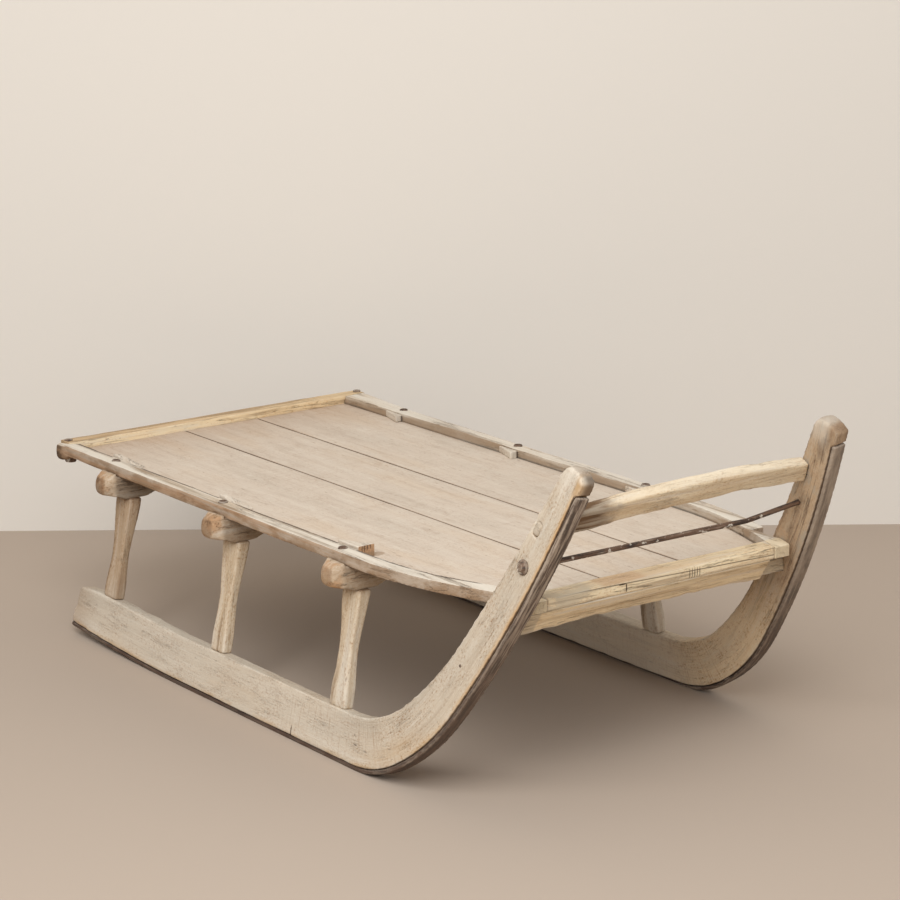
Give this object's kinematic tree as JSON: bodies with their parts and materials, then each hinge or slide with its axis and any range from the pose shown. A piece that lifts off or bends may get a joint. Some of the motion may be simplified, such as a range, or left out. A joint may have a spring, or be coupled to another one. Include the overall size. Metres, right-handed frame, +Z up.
{
  "type": "horse drawn sleigh",
  "caption": "Low wooden working sleigh: two upturned leaning plank runners with iron shoes, posts, bolsters, a flat plank deck with rails, a crossbar and an iron tie rod.",
  "frame": {"origin": "on the floor, under the middle of the sleigh's length and width", "axes": "+X forward towards the upturned horns, +Y to the sleigh's left, +Z up"},
  "size_m": [1.5512, 0.762, 0.6128],
  "materials": {
    "runner_wood": "weathered, matt",
    "post_wood": "weathered, matt",
    "bolster_wood": "weathered, matt",
    "deck_wood": "scrubbed, matt",
    "rail_wood": "scrubbed, matt",
    "beam_wood": "weathered, matt",
    "bar_wood": "weathered, matt",
    "peg_wood": "dark end grain, matt",
    "shoe_iron": "rusted wrought iron strap",
    "rod_iron": "rusted wrought iron"
  },
  "bodies": {
    "root": {"runner_right": "runner_wood", "shoe_right": "shoe_iron", "runner_left": "runner_wood", "shoe_left": "shoe_iron", "post_right_1": "post_wood", "post_right_2": "post_wood", "post_right_3": "post_wood", "post_left_1": "post_wood", "post_left_2": "post_wood", "post_left_3": "post_wood", "bolster_1": "bolster_wood", "bolster_2": "bolster_wood", "bolster_3": "bolster_wood", "deck_board_right": "deck_wood", "deck_board_middle": "deck_wood", "deck_board_left": "deck_wood", "side_rail_right": "rail_wood", "side_rail_left": "rail_wood", "rear_rail": "rail_wood", "front_rail": "rail_wood", "front_crossbeam": "beam_wood", "top_crossbar": "bar_wood", "tie_rod": "rod_iron", "peg_right_1": "peg_wood", "chock_right_1": "rail_wood", "peg_right_2": "peg_wood", "chock_right_2": "rail_wood", "peg_right_3": "peg_wood", "chock_right_3": "rail_wood", "corner_bolt_right": "rod_iron", "peg_left_1": "peg_wood", "chock_left_1": "rail_wood", "peg_left_2": "peg_wood", "chock_left_2": "rail_wood", "peg_left_3": "peg_wood", "chock_left_3": "rail_wood", "corner_bolt_left": "rod_iron"}
  },
  "joints": []
}
